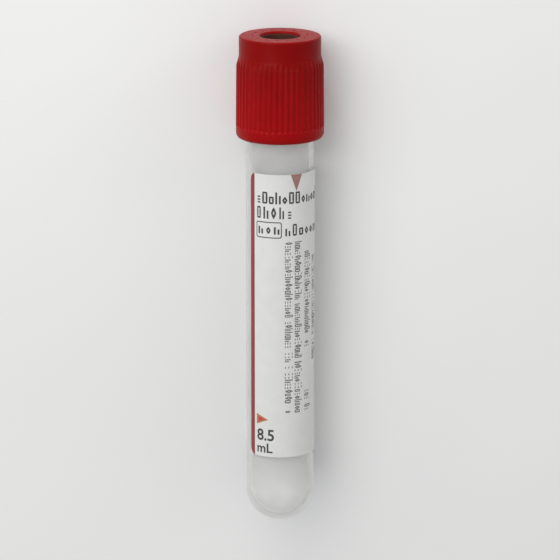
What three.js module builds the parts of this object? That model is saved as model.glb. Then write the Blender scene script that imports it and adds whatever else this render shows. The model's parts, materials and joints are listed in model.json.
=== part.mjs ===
// Evacuated blood collection tube with a shielded, pull-off closure, lying at rest.
//
// The tube is one clear, round-bottomed moulding with a paper label wrapped round it. The closure is
// two pieces that come off together: a rubber stopper plugs the bore and seats on the lip, and a
// ribbed plastic shield grips the stopper's flange and reaches down over the outside of the tube.
//
// Units are millimetres. Each piece is made in the tube's own frame: +Z runs up the axis from the
// round bottom to the closure, and -Y is the front of the label. The last group lays the tube down
// on z = 0, where it rests on the skirt of its shield and on the shoulder of its round bottom.

import * as THREE from "three";

// ---------------------------------------------------------------- driving sizes

// Tube
const tubeDiameter = 15.2; // outside of the wall
const tubeLength = 104; // lip to the outside of the round bottom
const wallAtMouth = 0.95;
const wallAtBottom = 1.1; // the bore narrows towards the bottom, so that its core pulls out
const bottomWall = 1.3;
const lipRound = 0.35;

// Label
const labelLength = 65;
const labelThickness = 0.1;
const labelFromBottom = 16.6;
const labelStart = -56.25; // degrees round from the front, where the printed stripe runs
const labelWrap = 300; // degrees of the tube that it covers, so the rest is a clear window

// Rubber stopper
const flangeOverhang = 0.6; // how far the flange reaches past the tube's wall
const flangeHeight = 6.4;
const plugLength = 9.5;
const plugRelief = 0.25; // how far the plug draws in between its two sealing beads
const plugTipTaper = 0.5; // how far it draws in at its tip
const beadHeight = 1.4;
const plugHollow = 7.4; // across the blind end of the hollow
const plugHollowDraft = 0.4; // each side, from the blind end to the mouth
const diaphragm = 3.6; // rubber that the needle goes through
const needleWell = 6.9; // across the floor of the well in the stopper's top
const needleWellDraft = 0.45; // each side, from the floor to the mouth
const needleWellDepth = 3.8;
const wellRimHeight = 0.55; // raised rim round the well, which fills the lower part of the shield's hole

// Shield
const shieldHeight = 22.8;
const skirtWall = 1.35; // out to the plain band
const crestInset = 0.06; // how far the crests lie inside the plain band at their lower ends
const skirtDraft = 0.12; // the same at their upper ends
const edgeRoundWidth = 0.8; // rounding of the skirt's lower edge
const edgeRoundHeight = 1.2;
const skirtFlare = 0.2; // the bore opens at its edge to lead the tube in
const leadIn = 0.6;
const collarInset = 0.7; // how far the plain collar round the top lies inside the plain band
const collarHeight = 4.4;
const shoulderHeight = 2.2; // slope between the collar and the ribs
const topWall = 1;
const topHole = 8.8; // opening that shows the needle well
const topRound = 0.45;
const holeRound = 0.5;
const ringHeight = 0.8; // retaining ring under the stopper's flange
const ribCount = 48;
const ribDepth = 0.2;
const bandHeight = 2.5; // plain band under the ribs
const ribFoot = 0.2; // slope at the ribs' lower ends
const facetHollow = 0.03; // how far the band's wide facets draw in between their corners

// Fits
const adhesive = 0.04; // label to tube
const plugClearance = 0.05; // each side, plug to bore
const seatGap = 0.05; // flange to lip, and flange to shield
const rimClearance = 0.1; // each side, well rim to the shield's hole
const ringClearance = 0.2; // each side, retaining ring to tube
const skirtClearance = 0.85; // each side, skirt to tube

// Facets
const segments = 48; // round the tube, label and stopper
const shieldSegments = 2 * ribCount; // a crest and a valley for each rib
const bandFacets = Math.round(shieldSegments / 3); // wide, so that the part lies still on one's corners
const bottomSteps = 8;
const roundSteps = 3;

// ---------------------------------------------------------------- worked-out places

const tubeRadius = tubeDiameter / 2;
const boreAtMouth = tubeRadius - wallAtMouth;
const boreAtBottom = tubeRadius - wallAtBottom;
const roundEnd = bottomWall + boreAtBottom; // height at which the bore's round end begins
const lip = tubeLength;
const flangeRadius = tubeRadius + flangeOverhang;
const flangeBottom = lip + seatGap;
const flangeTop = flangeBottom + flangeHeight;
const wellFloor = flangeTop - needleWellDepth;
const wellRim = topHole / 2 - rimClearance; // radius of the raised rim
const skirtBore = tubeRadius + skirtClearance;
const skirtRadius = skirtBore + skirtWall;
const shieldTop = flangeTop + seatGap + topWall;
const shieldBottom = shieldTop - shieldHeight;
const ribsBottom = shieldBottom + bandHeight;
const ribsTop = shieldTop - collarHeight - shoulderHeight;

// ---------------------------------------------------------------- helpers

const degrees = THREE.MathUtils.degToRad;

// Points on an arc centred on (r, z), from one angle to the other in degrees.
function arc(r, z, radiusR, radiusZ, from, to, steps) {
  const points = [];
  for (let i = 0; i <= steps; i++) {
    const angle = degrees(from + ((to - from) * i) / steps);
    points.push([r + radiusR * Math.cos(angle), z + radiusZ * Math.sin(angle)]);
  }
  return points;
}

// A solid of revolution round Z. The outline runs anticlockwise as (radius, height) pairs, and starts
// and ends on the axis or closes on itself. Facets are centred on the front and the back.
function turned(outline, count) {
  const points = outline.map(([r, z]) => new THREE.Vector2(Math.max(r, 0), z));
  const geometry = new THREE.LatheGeometry(points, count, Math.PI / count);
  geometry.rotateX(Math.PI / 2);
  return geometry;
}

function piece(name, geometry, look) {
  const mesh = new THREE.Mesh(geometry, new THREE.MeshStandardMaterial(look));
  mesh.name = name;
  return mesh;
}

// ---------------------------------------------------------------- tube

function tube() {
  const outline = [
    ...arc(0, tubeRadius, tubeRadius, tubeRadius, -90, 0, bottomSteps),
    ...arc(tubeRadius - lipRound, lip - lipRound, lipRound, lipRound, 0, 90, roundSteps),
    ...arc(boreAtMouth + lipRound, lip - lipRound, lipRound, lipRound, 90, 180, roundSteps),
    ...arc(0, roundEnd, boreAtBottom, boreAtBottom, 0, -90, bottomSteps),
  ];
  return piece("tube", turned(outline, segments), {
    color: 0xd9dcdc,
    roughness: 0.08,
    metalness: 0,
    transparent: true,
    opacity: 0.35,
  });
}

// ---------------------------------------------------------------- label

function label() {
  const inner = tubeRadius + adhesive;
  const outer = inner + labelThickness;
  const start = degrees(labelStart - 90);
  const end = start + degrees(labelWrap);
  const section = new THREE.Shape();
  section.absarc(0, 0, outer, start, end, false);
  section.absarc(0, 0, inner, end, start, true);
  const facetsRound = Math.round((segments * labelWrap) / 360);
  const sheet = new THREE.ExtrudeGeometry(section, {
    depth: labelLength,
    bevelEnabled: false,
    curveSegments: facetsRound / 2,
  });
  sheet.translate(0, 0, labelFromBottom);
  return piece("label", sheet, { color: 0xd8d8d4, roughness: 0.55, metalness: 0 });
}

// ---------------------------------------------------------------- rubber stopper

// The bore's radius at a height above its round end.
function boreRadius(z) {
  const share = (z - roundEnd) / (lip - lipRound - roundEnd);
  return boreAtBottom + (boreAtMouth - boreAtBottom) * share;
}

function rubberStopper() {
  const tip = flangeBottom - plugLength;
  const seal = boreRadius(tip) - plugClearance;
  const waist = seal - plugRelief;
  const outline = [
    [0, wellFloor - diaphragm],
    [plugHollow / 2, wellFloor - diaphragm],
    [plugHollow / 2 + plugHollowDraft, tip],
    [seal - plugTipTaper, tip],
    [seal, tip + beadHeight],
    [seal, tip + 2 * beadHeight],
    [waist, tip + 2.5 * beadHeight],
    [waist, flangeBottom - 2.5 * beadHeight],
    [seal, flangeBottom - 2 * beadHeight],
    [seal, flangeBottom],
    [flangeRadius, flangeBottom],
    [flangeRadius, flangeTop],
    [wellRim, flangeTop],
    [wellRim, flangeTop + wellRimHeight],
    [needleWell / 2 + needleWellDraft, flangeTop + wellRimHeight],
    [needleWell / 2, wellFloor],
    [0, wellFloor],
  ];
  return piece("rubber_stopper", turned(outline, segments), {
    color: 0x5a1c16,
    roughness: 0.75,
    metalness: 0,
  });
}

// ---------------------------------------------------------------- shield

// How far in a point of a valley lies, from none on a crest to the full depth halfway between two.
function ribScale(radius, round) {
  const depth = (ribDepth * (1 - Math.sin(ribCount * round))) / 2;
  return (radius - depth) / radius;
}

// Brings a point between two corners of a wide facet to just inside the flat between them.
function facetScale(radius, round) {
  const step = (2 * Math.PI) / bandFacets;
  const off = round - step * Math.round(round / step);
  const flat = Math.cos(step / 2) / Math.cos(off);
  const atCorner = step / 2 - Math.abs(off) < step / 100;
  return atCorner ? flat : flat - facetHollow / radius;
}

// Shapes the outside of a turned shield: valleys between the ribs, which keep one depth from end to
// end, and wide facets on the plain band and the rounded edge below them.
function shapeOutside(geometry) {
  const at = geometry.attributes.position;
  for (let i = 0; i < at.count; i++) {
    const radius = Math.hypot(at.getX(i), at.getY(i));
    const z = at.getZ(i);
    if (radius < (skirtRadius + skirtBore) / 2 || z > ribsTop + ribFoot / 2) continue;
    const round = Math.atan2(at.getX(i), -at.getY(i));
    const ribbed = z > ribsBottom + ribFoot / 2;
    const scale = ribbed ? ribScale(radius, round) : facetScale(radius, round);
    at.setXY(i, at.getX(i) * scale, at.getY(i) * scale);
  }
}

function capShield() {
  const edge = skirtRadius - edgeRoundWidth;
  const collar = skirtRadius - collarInset;
  const hole = topHole / 2;
  const chamber = flangeRadius + seatGap; // the room round the flange
  const ring = tubeRadius + ringClearance;
  const outline = [
    [skirtBore + skirtFlare, shieldBottom],
    ...arc(edge, shieldBottom + edgeRoundHeight, edgeRoundWidth, edgeRoundHeight, -90, 0, roundSteps),
    [skirtRadius, ribsBottom],
    [skirtRadius - crestInset, ribsBottom + ribFoot],
    [skirtRadius - skirtDraft, ribsTop],
    [collar, shieldTop - collarHeight],
    ...arc(collar - topRound, shieldTop - topRound, topRound, topRound, 0, 90, roundSteps),
    ...arc(hole + holeRound, shieldTop - holeRound, holeRound, holeRound, 90, 180, roundSteps),
    [hole, shieldTop - topWall],
    [chamber, shieldTop - topWall],
    [chamber, lip],
    [ring, lip],
    [ring, lip - ringHeight],
    [skirtBore, lip - 2 * ringHeight],
    [skirtBore, shieldBottom + leadIn],
    [skirtBore + skirtFlare, shieldBottom],
  ];
  const geometry = turned(outline, shieldSegments);
  shapeOutside(geometry);
  return piece("cap_shield", geometry, { color: 0x970f14, roughness: 0.38, metalness: 0 });
}

// ---------------------------------------------------------------- assembly

const upright = new THREE.Group();
upright.add(tube(), label(), capShield(), rubberStopper());

// Lying down, facets under the skirt and under the shoulder of the round bottom carry the weight.
const skirtRest = skirtRadius * Math.cos(Math.PI / bandFacets);
const tubeRest = tubeRadius * Math.cos(Math.PI / segments);
const skirtRestAt = shieldBottom + edgeRoundHeight;
const restTilt = Math.atan2(skirtRest - tubeRest, skirtRestAt - tubeRadius);
upright.rotation.x = restTilt - Math.PI / 2;

// The origin is under the middle of the lying tube, on the surface that it lies on.
const extent = new THREE.Box3().setFromObject(upright, true);
const middle = extent.getCenter(new THREE.Vector3());
upright.position.set(-middle.x, -middle.y, -extent.min.z);

const bloodCollectionTube = new THREE.Group();
bloodCollectionTube.add(upright);
bloodCollectionTube.updateMatrixWorld(true);

export default bloodCollectionTube;
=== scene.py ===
# %% [markdown]
# # A blood collection tube
#
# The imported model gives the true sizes, and the two bodies that part when the tube is opened: the
# tube with its label, and the closure. It is faceted, so each piece is made again here as a smooth
# mesh in the same place. The pieces then get their finishes, a pale table and soft light.

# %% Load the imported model
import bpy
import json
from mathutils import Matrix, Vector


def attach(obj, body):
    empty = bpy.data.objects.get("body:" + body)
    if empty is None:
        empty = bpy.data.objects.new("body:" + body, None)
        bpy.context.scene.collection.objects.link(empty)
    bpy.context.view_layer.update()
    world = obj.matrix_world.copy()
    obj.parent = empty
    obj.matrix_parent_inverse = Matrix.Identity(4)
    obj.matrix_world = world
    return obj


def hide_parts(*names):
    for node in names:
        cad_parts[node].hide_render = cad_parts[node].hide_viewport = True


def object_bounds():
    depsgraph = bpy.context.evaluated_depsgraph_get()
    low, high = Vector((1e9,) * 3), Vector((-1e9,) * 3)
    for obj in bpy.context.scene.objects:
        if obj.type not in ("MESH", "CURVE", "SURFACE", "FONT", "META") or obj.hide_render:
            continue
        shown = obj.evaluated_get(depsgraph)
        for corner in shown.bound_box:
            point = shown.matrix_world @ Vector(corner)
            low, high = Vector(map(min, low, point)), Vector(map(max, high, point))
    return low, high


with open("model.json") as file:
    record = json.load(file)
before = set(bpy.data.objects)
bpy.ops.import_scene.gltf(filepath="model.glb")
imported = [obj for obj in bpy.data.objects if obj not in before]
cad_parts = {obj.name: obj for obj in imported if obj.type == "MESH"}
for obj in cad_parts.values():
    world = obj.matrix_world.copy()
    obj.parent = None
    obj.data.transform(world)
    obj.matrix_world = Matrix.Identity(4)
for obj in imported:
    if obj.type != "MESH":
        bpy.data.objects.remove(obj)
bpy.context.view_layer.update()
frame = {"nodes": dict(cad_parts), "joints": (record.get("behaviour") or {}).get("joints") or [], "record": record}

# %% [markdown]
# ## The tube's own frame
#
# The tube lies a little aslant, because the skirt of its closure is wider than the tube. A shape
# turned round a slanted axis is awkward to write, so every piece is made standing up at the origin
# and laid down at the end by one matrix. The matrix could be typed in, but the closure's sliding
# joint already has the axis and the needle target lies on it, so both come from the frame.

# %% Work out how the tube lies
import json
from math import acos, atan2, ceil, cos, degrees, floor, hypot, pi, radians, sin, tan

import bmesh
import bpy
from mathutils import Matrix, Vector

MM = 0.001

along = Vector(frame["joints"][0]["axis"]).normalized()
across = Vector((1, 0, 0))
inward = along.cross(across)  # from the front of the label to its back
mounts = {mount["name"]: Vector(mount["pos_m"]) for mount in frame["record"]["mounts"]}
target = mounts["needle_target"]


def corners(node):
    """Where a node's vertices are."""
    return [vertex.co for vertex in frame["nodes"][node].data.vertices]


bottom = target + along * min((corner - target).dot(along) for corner in corners("tube"))
lay_down = Matrix.Translation(bottom) @ Matrix((across, inward, along)).transposed().to_4x4()
stand_up = lay_down.inverted()
print("Round bottom at", [round(value / MM, 2) for value in bottom], "mm")

# %% [markdown]
# ## Sizes from the frame
#
# With the matrix turned round, each node can be measured standing up: its largest distance from the
# axis, its foot and its head. The smooth pieces take their main sizes from these, so they follow the
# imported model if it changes.

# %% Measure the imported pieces


def reach(node):
    """A node's largest distance from the axis, its foot and its head, in the tube's frame."""
    points = [stand_up @ corner for corner in corners(node)]
    heights = [point.z for point in points]
    return max(hypot(point.x, point.y) for point in points), min(heights), max(heights)


tube_radius, _, lip = reach("tube")
label_radius, label_foot, label_head = reach("label")
skirt_radius, shield_foot, shield_top = reach("cap_shield")
flange_radius, plug_tip, well_rim = reach("rubber_stopper")
well_floor = (stand_up @ target).z
for name, size in (("tube", 2 * tube_radius), ("skirt", 2 * skirt_radius), ("length", shield_top)):
    print(f"{name}: {size / MM:.2f} mm")

# %% [markdown]
# ## Turned shapes
#
# The tube, the stopper and the shield are all round, so each starts as an outline of radii and
# heights that is turned round the axis. Blender's Spin and Screw tools could do that, but a loop over
# rings keeps the outline's order and so its outside, closes the poles with a single vertex and needs
# no cleaning up. Moulded edges are never sharp, so an outline can give each of its corners a fillet.

# %% Outlines and turning
FILLET_STEPS = 5
FILLET_SHARE = 0.49  # how much of a side one fillet may take, so that two never meet
ON_AXIS = 1e-7  # a smaller radius is a pole


def arc(centre, radii, start, end, steps):
    """Points on an arc, from one angle to the other in degrees."""
    angles = [radians(start + (end - start) * step / steps) for step in range(steps + 1)]
    return [(centre[0] + radii[0] * cos(a), centre[1] + radii[1] * sin(a)) for a in angles]


def rounded(outline):
    """Rounds a whole outline where a point has a fillet after its radius and height."""
    points = []
    for index, (r, z, *fillet) in enumerate(outline):
        if not fillet:
            points.append((r, z))
            continue
        corner = Vector((r, z))
        before = Vector(outline[index - 1][:2]) - corner
        after = Vector(outline[(index + 1) % len(outline)][:2]) - corner
        half = before.angle(after) / 2
        room = FILLET_SHARE * min(before.length, after.length)
        set_back = min(fillet[0] / tan(half), room)
        first = corner + before.normalized() * set_back
        last = corner + after.normalized() * set_back
        middle = (before.normalized() + after.normalized()).normalized()
        centre = corner + middle * set_back / cos(half)
        sweep = (first - centre).angle_signed(last - centre)
        for step in range(FILLET_STEPS + 1):
            arm = Matrix.Rotation(-sweep * step / FILLET_STEPS, 2) @ (first - centre)
            points.append(tuple(centre + arm))
    return points


def turned(name, outline, columns):
    """A closed mesh of an outline turned round the axis. The outline runs anticlockwise."""
    vertices, rows, faces = [], [], []
    for r, z in outline:
        count = 1 if r < ON_AXIS else columns
        rows.append([len(vertices) + i for i in range(count)])
        angles = [2 * pi * i / columns for i in range(count)]
        vertices += [(r * sin(a), -r * cos(a), z) for a in angles]
    if len(rows[0]) > 1:
        rows.append(rows[0])
    for low, high in zip(rows, rows[1:]):
        for i in range(columns):
            j = i + 1
            loop = (low[i % len(low)], low[j % len(low)], high[j % len(high)], high[i % len(high)])
            faces.append(tuple(dict.fromkeys(loop)))
    mesh = bpy.data.meshes.new(name)
    mesh.from_pydata(vertices, [], faces)
    return mesh


# %% [markdown]
# ## Laying a piece down
#
# A finished piece has its place in its mesh and its object at the origin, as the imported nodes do.
# One function lays the mesh down, shades it smooth except across real edges, and ties it to the body
# that it moves with.

# %% Lay down and tie to a body
SHARP = radians(38)  # edges that bend more than this aren't smoothed


def in_scene(name, data):
    """A new object in the scene, with that mesh, words, lamp or camera."""
    thing = bpy.data.objects.new(name, data)
    bpy.context.scene.collection.objects.link(thing)
    return thing


def place(name, mesh, body, node=None):
    """Lays a standing mesh down as a piece of that body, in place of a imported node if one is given."""
    mesh.transform(lay_down)
    mesh.shade_smooth()
    mesh.set_sharp_from_angle(angle=SHARP)
    piece = in_scene(name, mesh)
    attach(piece, body)
    if node:
        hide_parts(node)
    print(f"{name}: {len(mesh.polygons)} faces, rides on {body}")


# %% [markdown]
# ## Numbers that vary
#
# Geometry trees and material trees both have Math nodes. Writing out each node and link hides the
# formula, so a small class stands for a number that varies over a surface, and ordinary arithmetic on
# it adds the matching nodes.

# %% A class for fields


class Field:
    """A value in a node tree that can be added, multiplied and so on like a number."""

    def __init__(self, tree, socket):
        self.tree = tree
        self.socket = socket

    def apply(self, operation, *others):
        """The result of a Math node with this field first."""
        node = self.tree.nodes.new("ShaderNodeMath")
        node.operation = operation
        for socket, value in zip(node.inputs, (self, *others)):
            feed(self.tree, socket, value)
        return Field(self.tree, node.outputs[0])

    def __add__(self, other):
        return self.apply("ADD", other)

    def __sub__(self, other):
        return self.apply("SUBTRACT", other)

    def __mul__(self, other):
        return self.apply("MULTIPLY", other)

    def __truediv__(self, other):
        return self.apply("DIVIDE", other)

    def rising(self, start, end):
        """0 up to start, 1 from end on, and a smooth change between them."""
        node = self.tree.nodes.new("ShaderNodeMapRange")
        node.interpolation_type = "SMOOTHSTEP"
        for name, value in (("Value", self), ("From Min", start), ("From Max", end)):
            feed(self.tree, node.inputs[name], value)
        return Field(self.tree, node.outputs[0])


def feed(tree, socket, value):
    """Links a field or a socket to a socket, or sets a plain value on it."""
    if isinstance(value, Field):
        value = value.socket
    if isinstance(value, bpy.types.NodeSocket):
        tree.links.new(value, socket)
    else:
        socket.default_value = value


def node_of(tree, kind, settings=None, **values):
    """A new node with its settings, and its inputs fed by name, with _ for a space."""
    node = tree.nodes.new(kind)
    for name, value in (settings or {}).items():
        setattr(node, name, value)
    for name, value in values.items():
        feed(tree, node.inputs[name.replace("_", " ")], value)
    return node


# %% [markdown]
# ## Geometry trees
#
# Ribs, dimples and rows of print repeat, so Geometry Nodes make them. A tree is built here with a
# named input for each size, run once as a modifier, and its result kept as a plain mesh. Each tree
# ends in Realize Instances and Set Material, so nothing in the result is an instance.

# %% Build and run a tree
SOCKETS = {float: "NodeSocketFloat", int: "NodeSocketInt", bpy.types.Material: "NodeSocketMaterial"}


def new_tree(name, values):
    """An empty geometry tree with an input for each value, and those inputs as fields."""
    tree = bpy.data.node_groups.new(name, "GeometryNodeTree")
    tree.interface.new_socket("Geometry", in_out="INPUT", socket_type="NodeSocketGeometry")
    tree.interface.new_socket("Geometry", in_out="OUTPUT", socket_type="NodeSocketGeometry")
    for label, value in values.items():
        tree.interface.new_socket(label, in_out="INPUT", socket_type=SOCKETS[type(value)])
    entry = tree.nodes.new("NodeGroupInput")
    return tree, {label: Field(tree, entry.outputs[label]) for label in ("Geometry", *values)}


def coordinates(tree):
    """Where each point is, as fields for x, y and z."""
    position = tree.nodes.new("GeometryNodeInputPosition")
    parts = node_of(tree, "ShaderNodeSeparateXYZ", Vector=position.outputs[0])
    return [Field(tree, parts.outputs[axis]) for axis in "XYZ"]


def vector(tree, **parts):
    """A vector from numbers or fields for its X, Y and Z."""
    return node_of(tree, "ShaderNodeCombineXYZ", **parts).outputs[0]


def close_tree(tree, geometry, material):
    """Ends a tree in Realize Instances and Set Material."""
    real = node_of(tree, "GeometryNodeRealizeInstances", Geometry=geometry)
    dressed = node_of(tree, "GeometryNodeSetMaterial", Geometry=real.outputs[0], Material=material)
    leave = tree.nodes.new("NodeGroupOutput")
    tree.links.new(dressed.outputs[0], leave.inputs[0])


def run_tree(tree, mesh, values):
    """The plain mesh that a tree makes of a mesh."""
    carrier = in_scene(tree.name, mesh)
    modifier = carrier.modifiers.new(tree.name, "NODES")
    modifier.node_group = tree
    for item in tree.interface.items_tree:
        if item.in_out == "INPUT" and item.name in values:
            modifier[item.identifier] = values[item.name]
    evaluated = carrier.evaluated_get(bpy.context.evaluated_depsgraph_get())
    result = bpy.data.meshes.new_from_object(evaluated)
    carrier.modifiers.remove(modifier)
    bpy.data.objects.remove(carrier)
    print(f"{tree.name}: {len(result.polygons)} faces")
    return result


# %% [markdown]
# ## Finishes
#
# Every finish starts from a Principled shader and a pattern measured in millimetres in the tube's own
# frame, so that grain keeps its real size. A Mapping node gives those coordinates from the object's
# own ones. A value that is the same everywhere is set on the shader's socket, and only what varies
# comes through nodes.

# %% Helpers for finishes
NOISE_SPAN = (0.3, 0.7)  # nearly all of a noise lies between these


def new_finish(name, **values):
    """A material, its tree, its shader with those values, and its coordinates in millimetres."""
    material = bpy.data.materials.new(name)
    material.use_nodes = True
    tree = material.node_tree
    shader = tree.nodes["Principled BSDF"]
    for label, value in values.items():
        shader.inputs[label.replace("_", " ")].default_value = value
    own = tree.nodes.new("ShaderNodeTexCoord")
    mapping = node_of(tree, "ShaderNodeMapping", Vector=own.outputs["Object"])
    mapping.inputs["Location"].default_value = stand_up.translation / MM
    mapping.inputs["Rotation"].default_value = stand_up.to_euler()
    mapping.inputs["Scale"].default_value = (1 / MM,) * 3
    return material, tree, shader, mapping.outputs[0]


def grain(tree, place_at, size, detail=2.0):
    """Noise whose blotches are about that many millimetres across."""
    node = node_of(tree, "ShaderNodeTexNoise", Vector=place_at, Scale=1 / size, Detail=detail)
    return Field(tree, node.outputs[0])


def shades(tree, factor, dark, light):
    """A colour that goes from dark to light over the usual span of a noise."""
    node = node_of(tree, "ShaderNodeValToRGB", Fac=factor)
    for stop, position, colour in zip(node.color_ramp.elements, NOISE_SPAN, (dark, light)):
        stop.position = position
        stop.color = (*colour, 1)
    return node.outputs[0]


def spread(tree, factor, low, high):
    """A number that goes from low to high over the usual span of a noise."""
    spans = {"From_Min": NOISE_SPAN[0], "From_Max": NOISE_SPAN[1], "To_Min": low, "To_Max": high}
    return node_of(tree, "ShaderNodeMapRange", Value=factor, **spans).outputs[0]


def relief(tree, shader, height, depth):
    """Raises a pattern by a depth in millimetres, as bump."""
    node = node_of(tree, "ShaderNodeBump", Height=height, Distance=depth * MM)
    tree.links.new(node.outputs[0], shader.inputs["Normal"])


# %% [markdown]
# ## Clear plastic
#
# The tube is clear polyester: glass-like, but a little less even than glass. Inside, a dried film that
# helps blood to clot makes the wall milky, so the inner wall is a mixture of clear and white. Light
# that has to find its way through two curved walls makes a noisy picture, so lamp light and bounced
# light go straight through a Transparent shader instead, and the camera still sees the bending.

# %% Clear finishes


def rays(tree, *labels):
    """1 for a ray of one of the kinds that Light Path names, 0 for any other."""
    path = tree.nodes.new("ShaderNodeLightPath")
    kinds = [Field(tree, path.outputs[label]) for label in labels]
    found = kinds[0]
    for kind in kinds[1:]:
        found = found.apply("MAXIMUM", kind)
    return found


def blended(tree, share, first, second):
    """Makes the surface the first shader where the share is 0 and the second where it is 1."""
    mix = tree.nodes.new("ShaderNodeMixShader")
    for socket, value in zip(mix.inputs, (share, first.outputs[0], second.outputs[0])):
        feed(tree, socket, value)
    tree.links.new(mix.outputs[0], tree.nodes["Material Output"].inputs["Surface"])


def clear_plastic(name, clearness, dark, light, haze_low, haze_high):
    """Clear plastic whose tint and roughness wander between two values."""
    material, tree, shader, at = new_finish(name, Transmission_Weight=clearness, IOR=1.57)
    specks = grain(tree, at, 3.0)
    feed(tree, shader.inputs["Base Color"], shades(tree, specks, dark, light))
    feed(tree, shader.inputs["Roughness"], spread(tree, specks, haze_low, haze_high))
    relief(tree, shader, grain(tree, at, 5.0, 0.0), 0.012)
    passing = node_of(tree, "ShaderNodeBsdfTransparent", Color=(0.94, 0.945, 0.95, 1))
    blended(tree, rays(tree, "Is Shadow Ray", "Is Diffuse Ray"), shader, passing)
    return material


outer_wall = clear_plastic("clear_polyester", 1.0, (0.93, 0.935, 0.93), (0.96, 0.96, 0.955), 0.07, 0.12)
inner_wall = clear_plastic("filmed_inside", 0.6, (0.85, 0.84, 0.815), (0.89, 0.88, 0.855), 0.3, 0.4)
print("Clear finishes:", outer_wall.name, inner_wall.name)

# %% [markdown]
# ## The tube
#
# One injection moulding: a long wall, a round bottom and a rounded lip. The bore narrows downwards so
# that its core pulls out, and the gate where the plastic came in leaves a small dished scar under the
# bottom. Its outline is an arc and a straight wall outside, the lip, then a wall and an arc inside.

# %% Make the tube
TUBE_COLUMNS = 192
WALL_AT_MOUTH = 0.95 * MM
WALL_AT_BOTTOM = 1.1 * MM
BOTTOM_WALL = 1.3 * MM
LIP_ROUND = 0.35 * MM
GATE_RADIUS = 1.5 * MM
GATE_DEPTH = 0.25 * MM
GATE_NUB = 0.4 * MM

bore_at_mouth = tube_radius - WALL_AT_MOUTH
bore_at_bottom = tube_radius - WALL_AT_BOTTOM
gate_height = tube_radius - (tube_radius**2 - GATE_RADIUS**2) ** 0.5
gate_angle = -degrees(acos(GATE_RADIUS / tube_radius))
gate = [
    (0, gate_height + GATE_DEPTH / 2),
    (GATE_NUB, gate_height + GATE_DEPTH / 2),
    (1.3 * GATE_NUB, gate_height + GATE_DEPTH),
    (0.8 * GATE_RADIUS, gate_height + GATE_DEPTH),
]
outside = [
    *gate,
    *arc((0, tube_radius), (tube_radius,) * 2, gate_angle, 0, 36),
    *arc((tube_radius - LIP_ROUND, lip - LIP_ROUND), (LIP_ROUND,) * 2, 0, 90, 6),
]
inside = [
    *arc((bore_at_mouth + LIP_ROUND, lip - LIP_ROUND), (LIP_ROUND,) * 2, 90, 180, 6),
    *arc((0, BOTTOM_WALL + bore_at_bottom), (bore_at_bottom,) * 2, 0, -90, 32),
]
tube_mesh = turned("clear_tube", outside + inside, TUBE_COLUMNS)
tube_mesh.materials.append(outer_wall)
tube_mesh.materials.append(inner_wall)
for face in tube_mesh.polygons:
    face.material_index = int(face.index >= len(outside) * TUBE_COLUMNS)
place("clear_tube", tube_mesh, "tube_and_label", "tube")

# %% [markdown]
# ## Red shield plastic
#
# The shield is moulded polypropylene, coloured all through: deep red, satin, with a faint unevenness
# where the melt flowed and a fine texture from the mould. Two sizes of noise give the colour that
# unevenness, and a slow rise towards the skirt's edge paints in light, so the red is lighter lower
# down, as if more light fell there. Two more noises give the gloss and the texture theirs.

# %% Shield finish
shield_plastic, tree, shader, at = new_finish("shield_plastic", IOR=1.49, Specular_IOR_Level=0.08)
height = node_of(tree, "ShaderNodeSeparateXYZ", Vector=at).outputs["Z"]
# Painted light: a rise from 0 at the top to 1 at the skirt's foot, which makes the red lighter lower down.
painted_light_to_foot = Field(tree, height).rising(shield_top / MM, shield_foot / MM)
# The colour mixes the melt's real unevenness from the noises with that painted light.
flow_and_painted_light = grain(tree, at, 4.0) * 0.3 + grain(tree, at, 0.9) * 0.2 + painted_light_to_foot * 0.5
feed(tree, shader.inputs["Base Color"], shades(tree, flow_and_painted_light, (0.2, 0.0008, 0.001), (0.29, 0.0015, 0.0025)))
feed(tree, shader.inputs["Roughness"], spread(tree, grain(tree, at, 1.5), 0.32, 0.42))
relief(tree, shader, grain(tree, at, 0.25), 0.012)
print("Finish:", shield_plastic.name)

# %% [markdown]
# ## The shield
#
# The grip is 48 ribs round the skirt, and the top has a ring of small dimples. Each could be a cutter
# used 48 or 16 times, but both follow a rule: how deep the surface lies depends only on where the
# point is. So a plain turned shield goes in, and the tree moves its points inwards or down by that
# formula. The ribs fade out over the shoulder and end below in a step above a plain band.

# %% A tree for ribs and dimples
RIBS = {
    "Rib Count": 48.0,
    "Rib Depth": 0.24 * MM,
    "Rib Foot": shield_foot + 2.5 * MM,
    "Foot Length": 0.45 * MM,
    "Rib Head": shield_top - 6.6 * MM,
    "Head Length": 2.2 * MM,
    "Ribs Outside": skirt_radius - 0.9 * MM,
    "Dimple Count": 16.0,
    "Dimple Turn": radians(15.8),
    "Dimple Circle": 6.2 * MM,
    "Dimple Radius": 0.34 * MM,
    "Dimple Depth": 0.25 * MM,
    "Dimples Above": shield_top - 0.01 * MM,
    "Material": shield_plastic,
}
tree, size = new_tree("Ribs and dimples", RIBS)
x, y, z = coordinates(tree)
radius = (x * x + y * y).apply("SQRT")
angle = x.apply("ARCTAN2", y * -1)

groove = (angle * size["Rib Count"]).apply("SINE") * -0.5 + 0.5
run = z.rising(size["Rib Foot"], size["Rib Foot"] + size["Foot Length"])
run = run - z.rising(size["Rib Head"], size["Rib Head"] + size["Head Length"])
run = run * radius.apply("GREATER_THAN", size["Ribs Outside"])
keep = (size["Rib Depth"] * groove * run / radius) * -1 + 1

pitch = size["Dimple Count"].apply("POWER", -1) * (2 * pi)
off = ((angle - size["Dimple Turn"]) / pitch + 0.5).apply("FLOOR") * pitch
off = angle - size["Dimple Turn"] - off
east = radius * off.apply("COSINE") - size["Dimple Circle"]
north = radius * off.apply("SINE")
bowl = (east * east + north * north).apply("SQRT").rising(0.0, size["Dimple Radius"]) * -1 + 1
sunk = bowl * size["Dimple Depth"] * z.apply("GREATER_THAN", size["Dimples Above"])

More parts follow.
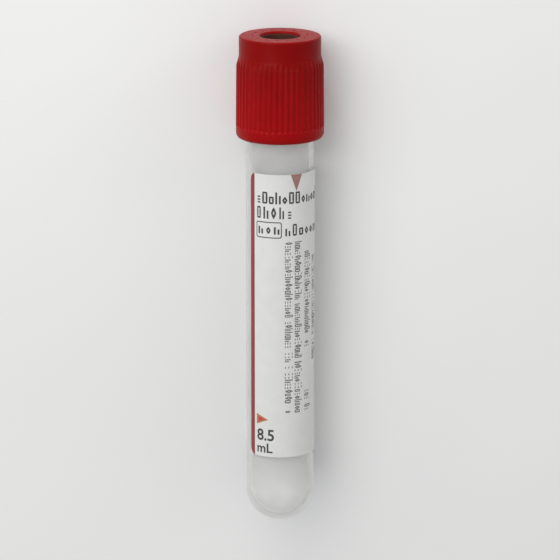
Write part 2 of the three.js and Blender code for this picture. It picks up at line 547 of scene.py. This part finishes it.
moved = vector(tree, X=x * keep, Y=y * keep, Z=z - sunk)
shaped = node_of(tree, "GeometryNodeSetPosition", Geometry=size["Geometry"], Position=moved)
close_tree(tree, shaped.outputs[0], size["Material"])
print(tree.name, "has", len(tree.nodes), "nodes")

# %% [markdown]
# ## The shield's outline
#
# Outside, the shield is a rounded foot, a skirt that draws in a little as it rises, a shoulder and a
# narrower collar. Inside, a chamber holds the stopper's flange and a ring below it centres the tube's
# lip. The outline's straight stretches are cut finely only where the depth changes, at the ribs' ends
# and across the dimples. Twelve columns of points for each rib make its wave smooth.

# %% Make the shield
SHIELD_COLUMNS = 576  # twelve for each rib
SKIRT_CLEARANCE = 0.85 * MM
SKIRT_DRAFT = 0.12 * MM
EDGE_ROUND = (0.8 * MM, 1.2 * MM)  # how far the foot's round reaches inwards, and up
COLLAR_INSET = 0.7 * MM
COLLAR_HEIGHT = 4.4 * MM
COLLAR_ROUND = 0.45 * MM
TOP_WALL = 1.0 * MM
TOP_HOLE_RADIUS = 4.4 * MM
HOLE_ROUND = 0.5 * MM
FOOT_FLARE = (0.25 * MM, 0.6 * MM)  # how much wider the bore is at the foot, and how far up
SEAT_GAP = 0.05 * MM
RING_CLEARANCE = 0.2 * MM
RING_HEIGHT = 0.8 * MM


def steps(start, end, count):
    """Evenly spaced points from start to end."""
    return [tuple(Vector(start).lerp(Vector(end), i / count)) for i in range(count + 1)]


edge = (skirt_radius - EDGE_ROUND[0], shield_foot + EDGE_ROUND[1])
collar = skirt_radius - COLLAR_INSET
drawn_in = skirt_radius - SKIRT_DRAFT
skirt_bore = tube_radius + SKIRT_CLEARANCE
ring_bore = tube_radius + RING_CLEARANCE
chamber = flange_radius + SEAT_GAP
rib_foot, rib_head = RIBS["Rib Foot"], RIBS["Rib Head"]
inner_dimple, outer_dimple = (RIBS["Dimple Circle"] + side * RIBS["Dimple Radius"] for side in (-1, 1))
outline = [
    (skirt_bore + FOOT_FLARE[0], shield_foot),
    *arc(edge, EDGE_ROUND, -90, 0, 10),
    *steps((skirt_radius, rib_foot), (skirt_radius, rib_foot + RIBS["Foot Length"]), 6),
    (drawn_in, rib_head),
    *steps((drawn_in, rib_head), (collar, shield_top - COLLAR_HEIGHT), 8)[1:],
    *arc((collar - COLLAR_ROUND, shield_top - COLLAR_ROUND), (COLLAR_ROUND,) * 2, 0, 90, 8),
    *steps((outer_dimple, shield_top), (inner_dimple, shield_top), 16),
    *arc((TOP_HOLE_RADIUS + HOLE_ROUND, shield_top - HOLE_ROUND), (HOLE_ROUND,) * 2, 90, 180, 8),
    (TOP_HOLE_RADIUS, shield_top - TOP_WALL, 0.1 * MM),
    (chamber, shield_top - TOP_WALL, 0.3 * MM),
    (chamber, lip, 0.1 * MM),
    (ring_bore, lip, 0.15 * MM),
    (ring_bore, lip - RING_HEIGHT, 0.2 * MM),
    (skirt_bore, lip - 2 * RING_HEIGHT, 0.2 * MM),
    (skirt_bore, shield_foot + FOOT_FLARE[1], 0.2 * MM),
]
shield_mesh = run_tree(tree, turned("ribbed_shield", rounded(outline), SHIELD_COLUMNS), RIBS)
place("ribbed_shield", shield_mesh, "closure", "cap_shield")

# %% [markdown]
# ## Stopper rubber
#
# Butyl rubber is dark, matt and slightly dusty. In one even dark colour the stopper would look like a
# hole, so two sizes of fine noise give it specks of dust. The surface is rough all over.

# %% Rubber finish
rubber, tree, shader, at = new_finish("stopper_rubber", IOR=1.5, Specular_IOR_Level=0.15)
dust = grain(tree, at, 0.5) * 0.7 + grain(tree, at, 0.12) * 0.3
feed(tree, shader.inputs["Base Color"], shades(tree, dust, (0.038, 0.013, 0.008), (0.064, 0.021, 0.013)))
feed(tree, shader.inputs["Roughness"], spread(tree, grain(tree, at, 0.4), 0.6, 0.8))
relief(tree, shader, grain(tree, at, 0.15), 0.02)
print("Finish:", rubber.name)

# %% [markdown]
# ## The rubber stopper
#
# Through the hole in the shield the rubber shows: the rim of the flange, the needle well and its flat
# floor with a raised target ring. Below, the plug is widest near its two ends, where it seals the
# bore, its waist stands clear, and a hollow under the well lets it give. All of it is round, so one
# turned outline makes it.

# %% Make the stopper
STOPPER_COLUMNS = 160
PLUG_CLEARANCE = 0.05 * MM
PLUG_RELIEF = 0.25 * MM
PLUG_TAPER = 0.5 * MM
BEAD = 1.4 * MM
HOLLOW = (3.7 * MM, 4.1 * MM)  # radius at its blind end and at its mouth
DIAPHRAGM = 3.6 * MM
WELL = (3.45 * MM, 3.9 * MM)  # radius at its floor and at its mouth
RIM_RADIUS = 4.3 * MM
RIM_HEIGHT = 0.55 * MM
TARGET_RING = 2.1 * MM
TARGET_SLOPE = 0.25 * MM
TARGET_HEIGHT = 0.15 * MM

flange_foot = lip + SEAT_GAP
flange_top = well_rim - RIM_HEIGHT
bore_share = (plug_tip - BOTTOM_WALL - bore_at_bottom) / (lip - BOTTOM_WALL - bore_at_bottom)
seal = bore_at_bottom + (bore_at_mouth - bore_at_bottom) * bore_share - PLUG_CLEARANCE
waist = seal - PLUG_RELIEF
roof = well_floor - DIAPHRAGM
outline = [
    (0, roof),
    (HOLLOW[0], roof, 0.6 * MM),
    (HOLLOW[1], plug_tip, 0.3 * MM),
    (seal - PLUG_TAPER, plug_tip, 0.3 * MM),
    (seal, plug_tip + BEAD, 0.5 * MM),
    (seal, plug_tip + 2 * BEAD, 0.3 * MM),
    (waist, plug_tip + 2.5 * BEAD, 0.3 * MM),
    (waist, flange_foot - 2.5 * BEAD, 0.3 * MM),
    (seal, flange_foot - 2 * BEAD, 0.3 * MM),
    (seal, flange_foot, 0.1 * MM),
    (flange_radius, flange_foot, 0.3 * MM),
    (flange_radius, flange_top, 0.3 * MM),
    (RIM_RADIUS, flange_top, 0.1 * MM),
    (RIM_RADIUS, well_rim, 0.12 * MM),
    (WELL[1], well_rim, 0.12 * MM),
    (WELL[0], well_floor, 0.25 * MM),
    (TARGET_RING + TARGET_SLOPE, well_floor, 0.1 * MM),
    (TARGET_RING, well_floor + TARGET_HEIGHT, 0.1 * MM),
    (TARGET_RING - TARGET_SLOPE, well_floor, 0.1 * MM),
    (0, well_floor),
]
stopper_mesh = turned("stopper", rounded(outline), STOPPER_COLUMNS)
stopper_mesh.materials.append(rubber)
place("stopper", stopper_mesh, "closure", "rubber_stopper")

# %% [markdown]
# ## Sheets that follow the tube
#
# The label and its larger marks are flat shapes wrapped round the tube. A flat face with few points
# would cut through the curve, so it is first sliced every quarter of a millimetre, then given its
# thickness and bent. All flat shapes are drawn in millimetres, x round the tube from its front and y
# along it, and the flat place is kept as a UV map for patterns that follow the paper.

# %% Wrap a flat shape
SLICE = 0.25  # millimetres
DEGREE = radians(1) * label_radius / MM  # millimetres round the label in one degree


def slice_across(flat):
    """Cuts a flat bmesh across at even steps, so that it can bend."""
    low = min(vertex.co.x for vertex in flat.verts)
    high = max(vertex.co.x for vertex in flat.verts)
    for step in range(floor(low / SLICE) + 1, ceil(high / SLICE)):
        everything = flat.verts[:] + flat.edges[:] + flat.faces[:]
        bmesh.ops.bisect_plane(
            flat, geom=everything, dist=1e-5, plane_co=(step * SLICE, 0, 0), plane_no=(1, 0, 0)
        )


def wrapped(name, flat, inner, outer):
    """A closed sheet between two radii from a flat bmesh whose faces look up."""
    slice_across(flat)
    flat.verts.index_update()
    spots = [vertex.co.xy for vertex in flat.verts]
    count = len(spots)
    faces = [[vertex.index for vertex in face.verts] for face in flat.faces]
    borders = [edge.link_loops[0] for edge in flat.edges if len(edge.link_faces) == 1]
    rims = [(loop.vert.index, loop.link_loop_next.vert.index) for loop in borders]
    shell = [[i + count for i in face] for face in faces]
    shell += [face[::-1] for face in faces]
    shell += [(a, b, b + count, a + count) for a, b in rims]
    points = []
    for radius in (inner, outer):
        for spot in spots:
            turn = spot.x * MM / label_radius
            points.append((radius * sin(turn), -radius * cos(turn), spot.y * MM))
    mesh = bpy.data.meshes.new(name)
    mesh.from_pydata(points, [], shell)
    uv = mesh.uv_layers.new(name="flat")
    for loop in mesh.loops:
        uv.data[loop.index].uv = spots[loop.vertex_index % count]
    flat.free()
    return mesh


def flat_shape(outline):
    """A flat bmesh of one outline, anticlockwise."""
    flat = bmesh.new()
    flat.faces.new([flat.verts.new((x, y, 0)) for x, y in outline])
    return flat


# %% [markdown]
# ## Label paper
#
# The label is coated paper: off-white, a little glossy, with fibres that show faintly as cloudiness
# and as a very fine tooth. Its patterns could read the object's coordinates, as the other finishes do,
# but real paper is made flat, so they read the flat UV map and run on round the curve.

# %% Paper finish
paper, tree, shader, _ = new_finish("label_paper", IOR=1.45, Coat_Weight=0.15, Coat_Roughness=0.25)
flat_place = node_of(tree, "ShaderNodeUVMap", {"uv_map": "flat"}).outputs[0]
fibres = grain(tree, flat_place, 0.4) * 0.5 + grain(tree, flat_place, 3.0) * 0.5
feed(tree, shader.inputs["Base Color"], shades(tree, fibres, (0.655, 0.66, 0.64), (0.71, 0.71, 0.69)))
feed(tree, shader.inputs["Roughness"], spread(tree, grain(tree, flat_place, 0.8), 0.42, 0.56))
relief(tree, shader, grain(tree, flat_place, 0.12), 0.006)
print("Finish:", paper.name)

# %% [markdown]
# ## The label
#
# One rounded rectangle that goes most of the way round and leaves a clear window to see the sample
# through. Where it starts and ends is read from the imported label, as the widest gap between the
# directions in which its points lie.

# %% Make the label
CORNER = 1.6  # millimetres
ADHESIVE = 0.04 * MM

turns = sorted(atan2(p.x, -p.y) for p in (stand_up @ corner for corner in corners("label")))
gaps = [(after - before) % (2 * pi) for before, after in zip(turns, turns[1:] + turns[:1])]
widest = gaps.index(max(gaps))
label_start = turns[(widest + 1) % len(turns)] * label_radius / MM
label_width = (2 * pi - gaps[widest]) * label_radius / MM
foot, head = label_foot / MM, label_head / MM
left, right = label_start, label_start + label_width


def rounded_box(left, foot, right, head, corner):
    """The outline of a rectangle with round corners, anticlockwise."""
    spots = (
        (left + corner, foot + corner, 180),
        (right - corner, foot + corner, 270),
        (right - corner, head - corner, 0),
        (left + corner, head - corner, 90),
    )
    return [p for x, y, turn in spots for p in arc((x, y), (corner,) * 2, turn, turn + 90, 8)]


label_shape = flat_shape(rounded_box(left, foot, right, head, CORNER))
label_mesh = wrapped("paper_label", label_shape, tube_radius + ADHESIVE, label_radius)
label_mesh.materials.append(paper)
place("paper_label", label_mesh, "tube_and_label", "label")
print(f"Label: {label_width:.1f} by {head - foot:.1f} mm, from {label_start / DEGREE:.2f} degrees")

# %% [markdown]
# ## Inks
#
# Print lies on the paper as a film that never covers quite evenly, so each ink's colour wavers a
# little. It could be a picture on the paper, but the marks here are very thin solids that stand a
# hundredth of a millimetre proud, which keeps their edges crisp at any distance.

# %% Ink finishes
INK_IN = label_radius - 0.01 * MM
INK_OUT = label_radius + 0.012 * MM


def ink(name, dark, light):
    """An ink that wavers between two colours."""
    material, tree, shader, at = new_finish(name, IOR=1.5)
    coverage = grain(tree, at, 0.18) * 0.6 + grain(tree, at, 1.5) * 0.4
    feed(tree, shader.inputs["Base Color"], shades(tree, coverage, dark, light))
    feed(tree, shader.inputs["Roughness"], spread(tree, grain(tree, at, 0.5), 0.42, 0.55))
    return material


red_ink = ink("red_ink", (0.21, 0.02, 0.022), (0.28, 0.034, 0.036))
brown_ink = ink("brown_ink", (0.26, 0.13, 0.115), (0.33, 0.18, 0.16))
orange_ink = ink("orange_ink", (0.4, 0.15, 0.05), (0.48, 0.2, 0.08))
bright_ink = ink("bright_red_ink", (0.42, 0.03, 0.04), (0.52, 0.05, 0.06))
black_ink = ink("black_ink", (0.028, 0.025, 0.027), (0.055, 0.05, 0.053))
grey_ink = ink("grey_ink", (0.1, 0.095, 0.1), (0.16, 0.15, 0.16))
print("Inks:", sum(m.name.endswith("_ink") for m in bpy.data.materials))

# %% [markdown]
# ## Stripe and arrows
#
# A red stripe runs along the label's left edge and follows its round corners. One arrow at the head
# points down the tube, and one near the foot points across it, with a brighter heart printed on top.
# Each is a small outline given to the wrapping function.

# %% Make the stripe and the arrows
STRIPE = 1.35  # millimetres; the stripe ends at the last of the corner's points within it
HEART = 0.5  # size of the bright heart against its arrow


def printed(name, flat, material, lift=0.0):
    """A mark wrapped on the label, lifted by a further part of a millimetre if it lies on another."""
    mesh = wrapped(name, flat, INK_IN, INK_OUT + lift * MM)
    mesh.materials.append(material)
    place(name, mesh, "tube_and_label")


edge_curve = rounded_box(left, foot, right, head, CORNER)
at_stripe = [point for point in edge_curve if point[0] <= left + STRIPE]
printed("edge_stripe", flat_shape(sorted(at_stripe, key=lambda p: p[1], reverse=True)), red_ink)

head_arrow = [(18 * DEGREE, head), (28 * DEGREE, head - 3.8), (39 * DEGREE, head)]
printed("head_arrow", flat_shape(head_arrow), brown_ink)
fill_arrow = [(-42 * DEGREE, 26.5), (-42 * DEGREE, 24.0), (-20 * DEGREE, 25.25)]
middle = [sum(values) / 3 for values in zip(*fill_arrow)]
fill_heart = [tuple(m + (p - m) * HEART for p, m in zip(point, middle)) for point in fill_arrow]
printed("fill_arrow", flat_shape(fill_arrow), orange_ink)
printed("fill_arrow_heart", flat_shape(fill_heart), bright_ink, 0.01)

# %% [markdown]
# ## The volume mark
#
# The draw volume is printed below the second arrow as a plain number and unit. Blender's text object
# makes the letters. They become a flat mesh, are scaled to the space that the mark takes, and are
# wrapped like the rest. Their curves have few steps, because with finer ones the edges of bold type
# fold over where they meet.

# %% Make the volume mark
BOLD = 0.02  # how far the letters' edges are moved out, for type of size 1
CURVE_STEPS = 6  # straight steps in each curve of a letter


def flat_text(words, left, foot, right, head):
    """A flat bmesh of words that fills a box, in millimetres."""
    curve = bpy.data.curves.new("words", "FONT")
    curve.body = words
    curve.offset = BOLD
    curve.resolution_u = CURVE_STEPS
    carrier = in_scene("words", curve)
    evaluated = carrier.evaluated_get(bpy.context.evaluated_depsgraph_get())
    mesh = bpy.data.meshes.new_from_object(evaluated)
    bpy.data.objects.remove(carrier)
    flat = bmesh.new()
    flat.from_mesh(mesh)
    bmesh.ops.remove_doubles(flat, verts=flat.verts, dist=1e-4)
    xs = [vertex.co.x for vertex in flat.verts]
    ys = [vertex.co.y for vertex in flat.verts]
    for vertex in flat.verts:
        vertex.co.x = left + (right - left) * (vertex.co.x - min(xs)) / (max(xs) - min(xs))
        vertex.co.y = foot + (head - foot) * (vertex.co.y - min(ys)) / (max(ys) - min(ys))
    return flat


volume = flat_text("8.5", -41 * DEGREE, 20.3, -10 * DEGREE, 23.0)
printed("volume_number", volume, black_ink)
unit = flat_text("mL", -41 * DEGREE, 17.5, -12.5 * DEGREE, 19.7)
printed("volume_unit", unit, black_ink)

# %% [markdown]
# ## Dummy type
#
# The rest of the label is covered in small print that is never read. It is set here in dummy type: a
# diamond, a box, a stack of bars or a pair of bars stands for each letter, so it has the grain of
# print and says nothing. The shapes are built at their real size inside a tree, so that a tall one
# has strokes as wide as a low one's. A straight stroke would cut through the curved paper, so each
# has a few points along it.

# %% Shapes for dummy type


def chance(tree, low, high, seed):
    """A random number between low and high for each point."""
    node = node_of(tree, "FunctionNodeRandomValue", {"data_type": "FLOAT"})
    for socket, value in ((node.inputs[2], low), (node.inputs[3], high), (node.inputs["Seed"], seed)):
        feed(tree, socket, value)
    return Field(tree, node.outputs[1])


def bar(tree, middle, width, height, thickness, **vertices):
    """A bar of that size round a point, with more vertices along one side if given."""
    size = vector(tree, X=width, Y=height, Z=thickness)
    cube = node_of(tree, "GeometryNodeMeshCube", Size=size, **vertices)
    shift = vector(tree, X=middle[0], Y=middle[1])
    return node_of(tree, "GeometryNodeTransform", Geometry=cube.outputs[0], Translation=shift).outputs[0]


def loop(tree, mode, height, stroke, thickness, **sizes):
    """A closed stroke along a four-sided curve that stands on the row's line."""
    curve = node_of(tree, "GeometryNodeCurvePrimitiveQuadrilateral", {"mode": mode}, **sizes)
    cut = node_of(tree, "GeometryNodeSubdivideCurve", Curve=curve.outputs[0], Cuts=2)
    level = node_of(tree, "GeometryNodeSetCurveNormal", {"mode": "Z_UP"}, Curve=cut.outputs[0])
    section = node_of(tree, "GeometryNodeCurvePrimitiveQuadrilateral", Width=stroke, Height=thickness)
    line = node_of(
        tree, "GeometryNodeCurveToMesh", Curve=level.outputs[0], Profile_Curve=section.outputs[0]
    )
    shift = vector(tree, Y=height * 0.5)
    return node_of(tree, "GeometryNodeTransform", Geometry=line.outputs[0], Translation=shift).outputs[0]


def joined(tree, parts, kind="GeometryNodeJoinGeometry"):
    """One geometry from several, kept in the order given."""
    node = tree.nodes.new(kind)
    for part in reversed(parts):
        tree.links.new(part, node.inputs[0])
    return node.outputs[0]


def shapes(tree, size, height):
    """A diamond, a box, a stack of bars and a pair of bars, all of that height."""
    stroke, film = size["Stroke"], size["Ink"]
    width = size["Letter Width"] - stroke
    rise = height - stroke
    half = rise * 0.5
    stack = [(0.0, height * 0.5 + half * share) for share in (-1, 0, 1)]
    pair = [(share, (width * side, height * share / 2)) for side, share in ((-0.5, 1), (0.5, 0.7))]
    return [
        loop(tree, "KITE", height, stroke, film, Width=width, Bottom_Height=half, Top_Height=half),
        loop(tree, "RECTANGLE", height, stroke, film, Width=width, Height=rise),
        joined(tree, [bar(tree, at, width, stroke * 0.8, film, Vertices_X=3) for at in stack]),
        joined(tree, [bar(tree, at, stroke, height * share, film, Vertices_Y=4) for share, at in pair]),
    ]


# %% [markdown]
# ## Rows of print
#
# Letters could be placed by a loop in the script, but a tree can be changed and run again for each
# size of print. It walks along each row, leaves out some points for spaces, drops a low or a tall
# shape at each of the others, turns it along the row and bends the lot round the label.

# %% A tree for rows of dummy type
ROWS = {
    "Pitch": 1.5 * MM,
    "Letter Width": 1.2 * MM,
    "Letter Height": 1.7 * MM,
    "Tall Letter": 2.7 * MM,
    "Stroke": 0.42 * MM,
    "Tall Share": 0.3,
    "Space Share": 0.12,
    "Seed": 3,
    "Label Radius": label_radius,
    "Ink": INK_OUT - INK_IN,
    "Material": black_ink,
}
tree, size = new_tree("Rows of dummy type", ROWS)
lines = node_of(tree, "GeometryNodeMeshToCurve", Mesh=size["Geometry"])
spaced = node_of(
    tree, "GeometryNodeResampleCurve", {"mode": "LENGTH"}, Curve=lines.outputs[0], Length=size["Pitch"]
)
letters = node_of(tree, "GeometryNodeCurveToPoints", {"mode": "EVALUATED"}, Curve=spaced.outputs[0])
space = chance(tree, 0.0, 1.0, size["Seed"]).apply("LESS_THAN", size["Space Share"])
kept = node_of(tree, "GeometryNodeDeleteGeometry", Geometry=letters.outputs["Points"], Selection=space)

facing = node_of(tree, "ShaderNodeSeparateXYZ", Vector=letters.outputs["Tangent"])
bearing = Field(tree, facing.outputs["Y"]).apply("ARCTAN2", Field(tree, facing.outputs["X"]))
low_shapes = shapes(tree, size, size["Letter Height"])
tall_shapes = shapes(tree, size, size["Tall Letter"])
type_case = joined(tree, low_shapes + tall_shapes, "GeometryNodeGeometryToInstance")
kinds = len(low_shapes)
tall = chance(tree, 0.0, 1.0, size["Seed"] + 1).apply("LESS_THAN", size["Tall Share"])
kind = chance(tree, 0.0, kinds - 0.01, size["Seed"] + 3).apply("FLOOR")  # 0 up to kinds - 1
stretch = chance(tree, 0.8, 1.1, size["Seed"] + 2)
set_out = node_of(
    tree,
    "GeometryNodeInstanceOnPoints",
    Points=kept.outputs[0],
    Instance=type_case,
    Pick_Instance=True,
    Instance_Index=kind + tall * kinds,
    Rotation=vector(tree, Z=bearing),
    Scale=vector(tree, X=stretch, Y=1.0, Z=1.0),
)
real = node_of(tree, "GeometryNodeRealizeInstances", Geometry=set_out.outputs[0])

x, y, z = coordinates(tree)
turn = x / size["Label Radius"]
out = size["Label Radius"] + z
bent = vector(tree, X=out * turn.apply("SINE"), Y=out * turn.apply("COSINE") * -1, Z=y)
curved = node_of(tree, "GeometryNodeSetPosition", Geometry=real.outputs[0], Position=bent)
close_tree(tree, curved.outputs[0], size["Material"])
print(tree.name, "has", len(tree.nodes), "nodes")

# %% [markdown]
# ## Setting the print
#
# Each row is given by where it starts and ends, in degrees round from the front and millimetres up
# the tube. The heading is three rows across the head of the label. The small print runs down the
# label in columns.

# %% Set the rows


def guides(rows):
    """A mesh of one edge for each row."""
    points = [(turn * DEGREE * MM, height * MM, 0) for row in rows for turn, height in row]
    mesh = bpy.data.meshes.new("guides")
    mesh.from_pydata(points, [(i, i + 1) for i in range(0, len(points), 2)], [])
    return mesh


def set_rows(name, rows, material, **changes):
    """One piece of print from rows, with the tree's sizes changed by name."""
    values = ROWS | {"Material": material}
    values |= {label.replace("_", " "): value for label, value in changes.items()}
    place(name, run_tree(tree, guides(rows), values), "tube_and_label")


heading = [
    ((-37, 75.0), (98, 75.0)),
    ((-37, 71.6), (16, 71.6)),
    ((13, 67.7), (98, 67.7)),
]
set_rows("heading_print", heading, black_ink, Space_Share=0.0)
boxed = [((-33.5, 68.1), (-5.5, 68.1))]
set_rows("boxed_print", boxed, black_ink, Seed=9, Space_Share=0.0, Tall_Share=0.0)
columns = [
    ((8, 66), (8, 27.2)),
    ((25, 66), (25, 27.2)),
    ((45, 63.5), (45, 42)),
    ((45, 31.5), (45, 27.2)),
    ((66, 62), (66, 38.6)),
    ((85, 62), (85, 30)),
]
set_rows(
    "small_print",
    columns,
    grey_ink,
    Pitch=0.78 * MM,
    Letter_Width=0.7 * MM,
    Letter_Height=1.35 * MM,
    Tall_Letter=1.85 * MM,
    Stroke=0.25 * MM,
    Tall_Share=0.4,
    Space_Share=0.07,
    Seed=21,
)

# %% [markdown]
# ## The box round the third row
#
# A thin frame sets off the start of the third row. It is one outline with a hole in it, so it is
# drawn as a strip between two rounded boxes.

# %% Make the frame
FRAME_LINE = 0.22  # millimetres


def flat_frame(left, foot, right, head, corner, line):
    """A flat bmesh of the strip between a rounded box and a smaller one inside it."""
    outer = rounded_box(left, foot, right, head, corner)
    inner = rounded_box(left + line, foot + line, right - line, head - line, corner - line)
    flat = bmesh.new()
    rings = [[flat.verts.new((x, y, 0)) for x, y in ring] for ring in (outer, inner)]
    for i in range(len(outer)):
        j = (i + 1) % len(outer)
        flat.faces.new((rings[0][i], rings[0][j], rings[1][j], rings[1][i]))
    return flat


row_frame = flat_frame(-42 * DEGREE, 67.2, 3 * DEGREE, 70.9, 0.5, FRAME_LINE)
printed("row_frame", row_frame, black_ink)

# %% [markdown]
# ## Table
#
# The table is a pale, matt sheet. It sits exactly under the lowest point of the dressed model, and it
# is large enough to fill the view from any side. Far from the tube it fades into the backdrop, so
# that a low view has no hard horizon. Only the rays that show something meet the fade. Those that
# carry light find a plain sheet, so the fade sheds none on the tube.

# %% Make the table
TABLE = 3.0  # metres
FADE = (100.0, 300.0)  # millimetres from the tube's middle
BACKDROP = 0.85
SHOWING = ("Is Camera Ray", "Is Glossy Ray", "Is Transmission Ray")

table_finish, tree, shader, at = new_finish("table", Roughness=0.9, Specular_IOR_Level=0.0)
cloud = grain(tree, at, 60.0)
feed(tree, shader.inputs["Base Color"], shades(tree, cloud, (0.79, 0.79, 0.785), (0.81, 0.81, 0.805)))
away = node_of(tree, "ShaderNodeVectorMath", {"operation": "DISTANCE"}, Vector=at)
away.inputs[1].default_value = (0, 0, shield_top / MM / 2)
fade = Field(tree, away.outputs["Value"]).rising(*FADE) * rays(tree, *SHOWING)
haze = node_of(tree, "ShaderNodeEmission", Color=(1, 1, 1, 1), Strength=BACKDROP)
blended(tree, fade, shader, haze)

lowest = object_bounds()[0].z
table_mesh = bpy.data.meshes.new("table")
half = TABLE / 2
ring = [(-half, -half), (half, -half), (half, half), (-half, half)]
table_mesh.from_pydata([(x, y, lowest) for x, y in ring], [], [(0, 1, 2, 3)])
table_mesh.materials.append(table_finish)
table = in_scene("table", table_mesh)
print(f"Table at {lowest / MM:.3f} mm")

# %% [markdown]
# ## Light
#
# Three soft lamps light the tube. The key stands high on the left, beyond the head, so shadows fall to
# the right and towards the foot. A low one beyond the head brightens the ring on top of the shield.
# It is hidden from glossy rays, because from the foot's end its glare would hide the print. A weak one
# on the right picks out the edge there, and an even grey world fills the shadows. Together they bring
# a surface that faces up to about the brightness of its own colour. The view transform is Standard, so
# colours stay as written. The world itself is brighter for the rays that show it, which makes it the
# near-white backdrop.

# %% Set the light
scene = bpy.context.scene
scene.view_settings.view_transform = "Standard"
WORLD_LIGHT = 0.5
LAMP_DISTANCE = 0.7  # metres


def lamp(name, direction, width, watts):
    """A new square lamp of that width in metres, pointed at the table under the tube's middle."""
    light = bpy.data.lights.new(name, "AREA")
    light.size = width
    light.energy = watts
    shining = in_scene(name, light)
    away = Vector(direction).normalized()
    shining.location = away * LAMP_DISTANCE
    shining.rotation_mode = "QUATERNION"
    shining.rotation_quaternion = away.to_track_quat("Z", "Y")
    return shining


lamp("key", (-0.5, 0.6, 0.9), 0.5, 2.6)
head_lamp = lamp("head", (-0.15, 1.0, 0.2), 0.3, 2.8)
head_lamp.visible_glossy = False
lamp("rim", (0.8, 0.5, 0.35), 0.25, 0.4)

world = bpy.data.worlds.new("room")
scene.world = world
world.use_nodes = True
tree = world.node_tree
strength = rays(tree, *SHOWING) * (BACKDROP - WORLD_LIGHT) + WORLD_LIGHT
feed(tree, tree.nodes["Background"].inputs["Strength"], strength)
tree.nodes["Background"].inputs["Color"].default_value = (1, 1, 1, 1)
print("Lamps:", len(bpy.data.lights))

# %% [markdown]
# ## Camera
#
# The camera looks down on the lying tube with a long lens, from a little beyond its head, so that the
# tube stands upright in the picture and the ring of the shield's top shows as a narrow ellipse. It is
# aimed at the middle of the tube, and its lens is worked out from how much of the view the tube fills.

# %% Set the camera
ELEVATION = radians(14.5)  # from the plane across the tube
DISTANCE = 0.9  # metres
FILL = 0.9  # share of the picture's height that the tube takes

middle = lay_down @ Vector((0, 0, shield_top / 2))
to_camera = along * sin(ELEVATION) - inward * cos(ELEVATION)
up = along * cos(ELEVATION) + inward * sin(ELEVATION)
data = bpy.data.cameras.new("camera")
camera = in_scene("camera", data)
camera.matrix_world = Matrix.Translation(middle + to_camera * DISTANCE) @ Matrix(
    (across, up, to_camera)
).transposed().to_4x4()
seen_height = shield_top * cos(ELEVATION) + 2 * skirt_radius * sin(ELEVATION)
data.lens = data.sensor_width * DISTANCE * FILL / seen_height
data.clip_start = 0.05
data.clip_end = 10
scene.camera = camera
print(f"Lens: {data.lens:.0f} mm")
